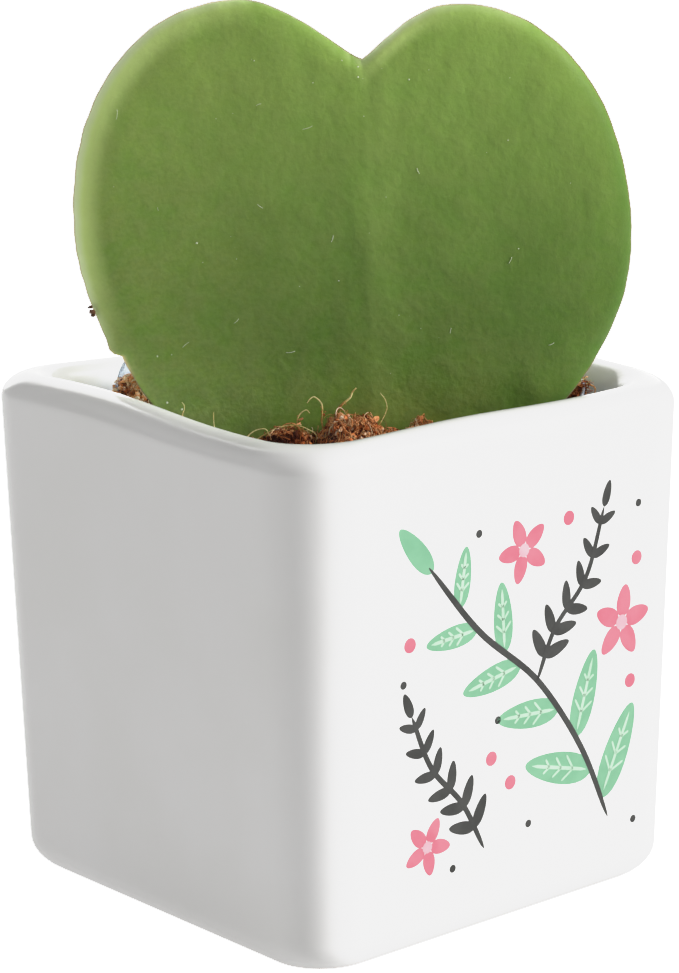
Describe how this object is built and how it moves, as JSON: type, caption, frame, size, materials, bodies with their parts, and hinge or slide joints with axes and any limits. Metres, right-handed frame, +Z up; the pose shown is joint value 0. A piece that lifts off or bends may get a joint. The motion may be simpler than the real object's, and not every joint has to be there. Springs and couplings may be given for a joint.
{
  "type": "potted hoya plant",
  "caption": "Potted sweetheart hoya: one thick heart-shaped leaf rooted in coconut coir, in a clear grow cup inside a small white glazed cube pot with a printed front.",
  "frame": {"origin": "middle of the pot's underside, on the surface that the pot stands on", "axes": "+Z up; the printed front face of the pot looks along -Y, with +X to its right; the leaf stands across the pot's diagonal and faces the edge between the -X and -Y faces"},
  "size_m": [0.0698, 0.0698, 0.1199],
  "materials": {
    "glazed_pot": "glossy white glaze with a small printed motif on the front face",
    "clear_cup": "thin clear plastic",
    "coir": "loose reddish-brown coconut fibre",
    "leaf": "thick fleshy leaf with a waxy satin skin"
  },
  "bodies": {
    "root": {"cube_pot": "glazed_pot", "grow_cup": "clear_cup", "coir_plug": "coir", "heart_leaf": "leaf"}
  },
  "joints": []
}
